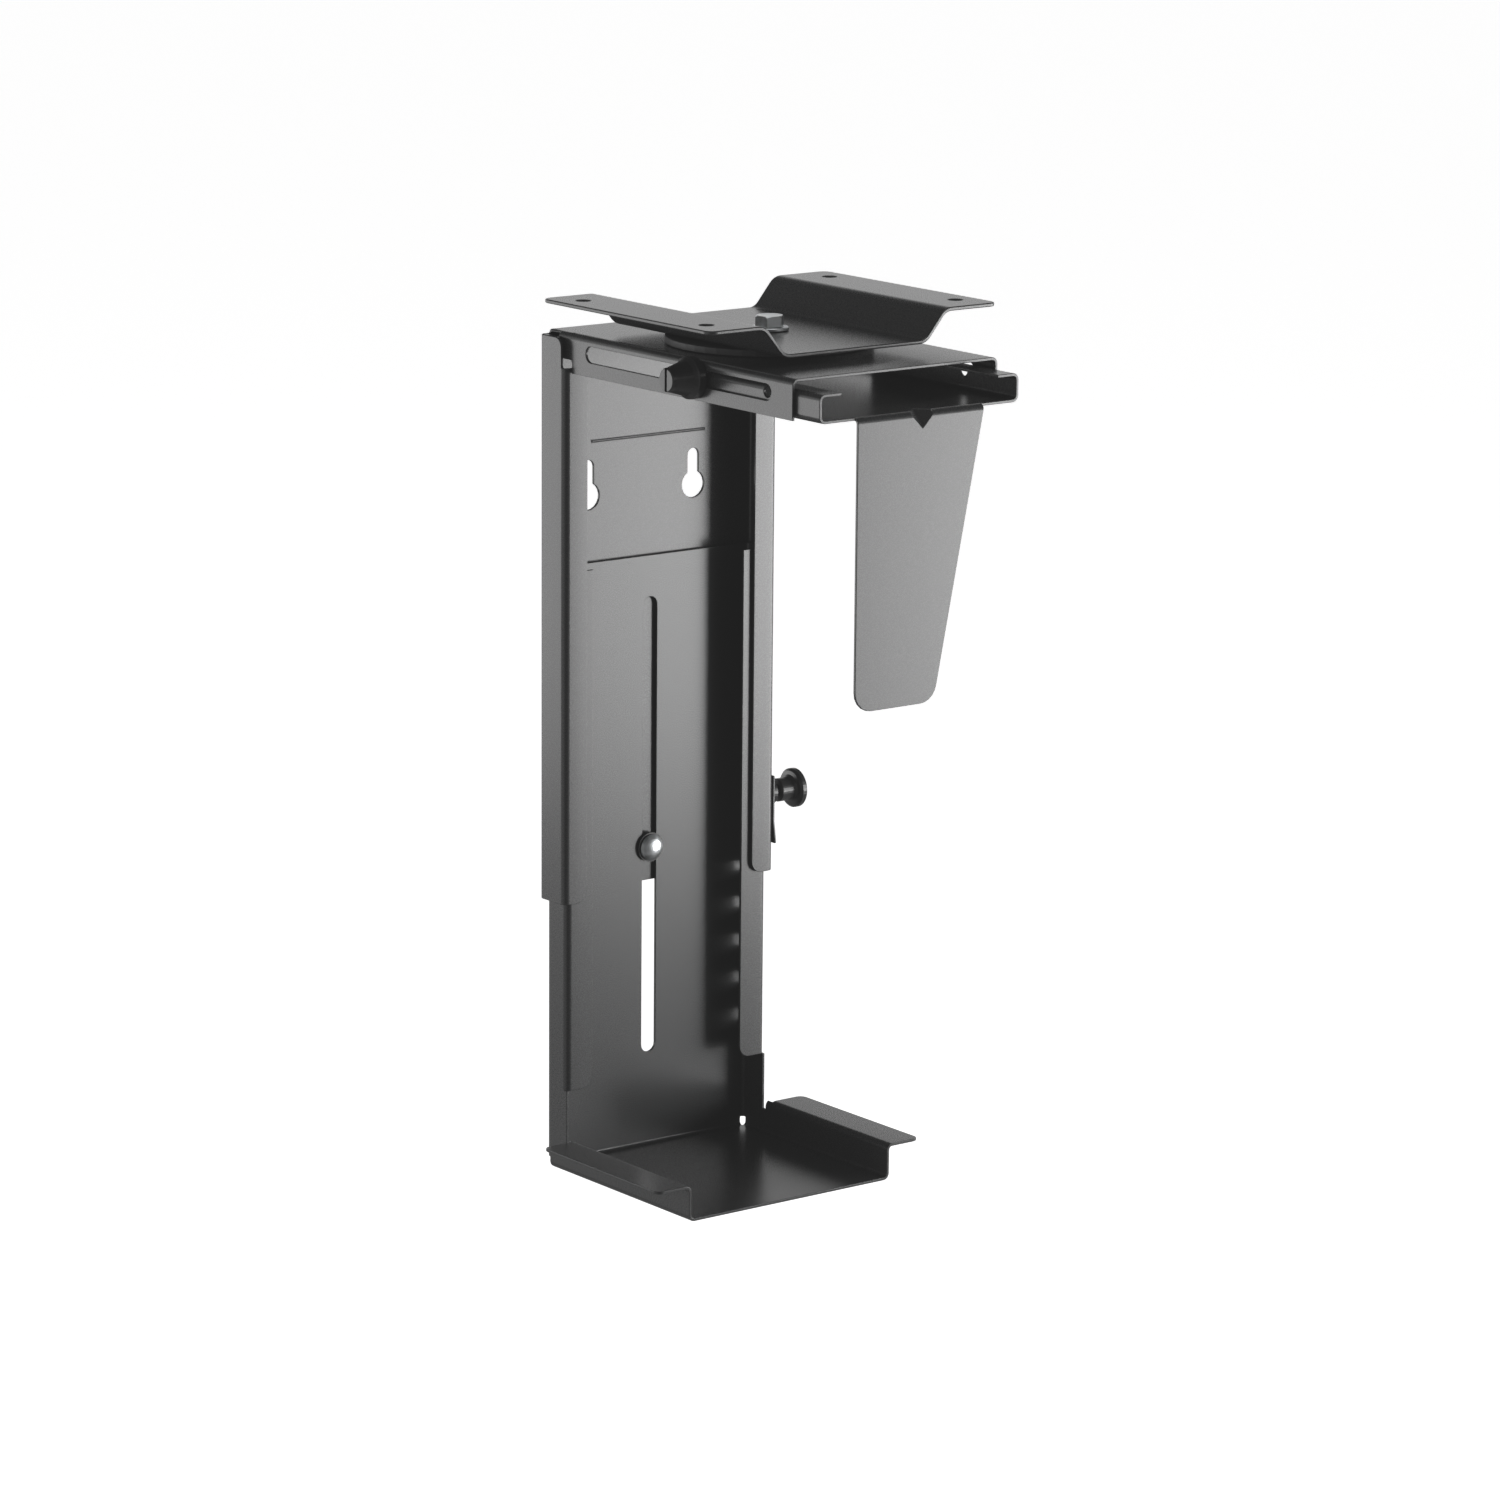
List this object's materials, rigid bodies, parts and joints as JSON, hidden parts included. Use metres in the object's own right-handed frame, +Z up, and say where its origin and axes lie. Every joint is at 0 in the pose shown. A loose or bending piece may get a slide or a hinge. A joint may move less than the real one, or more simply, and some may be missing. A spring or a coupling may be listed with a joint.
{
  "type": "cpu holder",
  "caption": "Under-desk computer holder in bent sheet steel: swivel bracket, slotted sliding channel with a tray and index plunger, and a sliding side arm with a tapered tongue.",
  "frame": {"origin": "on the swivel axis, in the plane of the desk underside, which the bracket flanges touch", "axes": "+Z up towards the desk; +X along the depth of the computer; +Y from the tongue towards the back plate, across the width of the computer"},
  "size_m": [0.1791, 0.2297, 0.4542],
  "materials": {
    "desk_bracket": "satin black powder coat",
    "swivel_bolt": "bright zinc",
    "swivel_washer": "bright zinc",
    "swivel_disc": "smooth black nylon",
    "swivel_lower_washer": "bright zinc",
    "swivel_nut": "bright zinc",
    "upper_frame": "satin black powder coat",
    "guide_bolt": "bright zinc",
    "guide_washer": "smooth black nylon",
    "guide_nut": "bright zinc",
    "plunger_plate": "satin black powder coat",
    "plunger_body": "moulded black",
    "plunger_rivet": "satin black powder coat",
    "lower_frame": "satin black powder coat",
    "side_arm": "satin black powder coat",
    "clamp_nut": "bright zinc",
    "clamp_knob": "moulded black",
    "clamp_stud": "bright zinc",
    "index_pin": "ground steel",
    "pin_knob": "moulded black"
  },
  "bodies": {
    "desk_mount": {"desk_bracket": "desk_bracket", "swivel_bolt": "swivel_bolt", "swivel_washer": "swivel_washer", "swivel_disc": "swivel_disc", "swivel_lower_washer": "swivel_lower_washer", "swivel_nut": "swivel_nut"},
    "holder": {"upper_frame": "upper_frame", "guide_bolt": "guide_bolt", "guide_washer": "guide_washer", "guide_nut": "guide_nut", "plunger_plate": "plunger_plate", "plunger_body": "plunger_body", "plunger_rivet": "plunger_rivet"},
    "lower": {"lower_frame": "lower_frame"},
    "arm": {"side_arm": "side_arm", "clamp_nut": "clamp_nut"},
    "knob": {"clamp_knob": "clamp_knob", "clamp_stud": "clamp_stud"},
    "pin": {"index_pin": "index_pin", "pin_knob": "pin_knob"}
  },
  "joints": [
    {"name": "swivel", "type": "hinge", "parent": "desk_mount", "child": "holder", "pos_m": [0, 0, 0], "axis": [0, 0, 1], "continuous": true},
    {"name": "height", "type": "slide", "parent": "holder", "child": "lower", "axis": [0, 0, 1], "range_m": [-0.12, 0.1]},
    {"name": "width", "type": "slide", "parent": "holder", "child": "arm", "axis": [0, -1, 0], "range_m": [-0.083, 0.057]},
    {"name": "knob_turn", "type": "hinge", "parent": "arm", "child": "knob", "pos_m": [-0.0632, -0.0229, -0.0297], "axis": [1, 0, 0], "range_deg": [0, 360]},
    {"name": "pin_pull", "type": "slide", "parent": "holder", "child": "pin", "axis": [1, 0, 0], "range_m": [-0.0027, 0], "stiffness_N_per_m": 1000, "springref_m": -0.004}
  ]
}
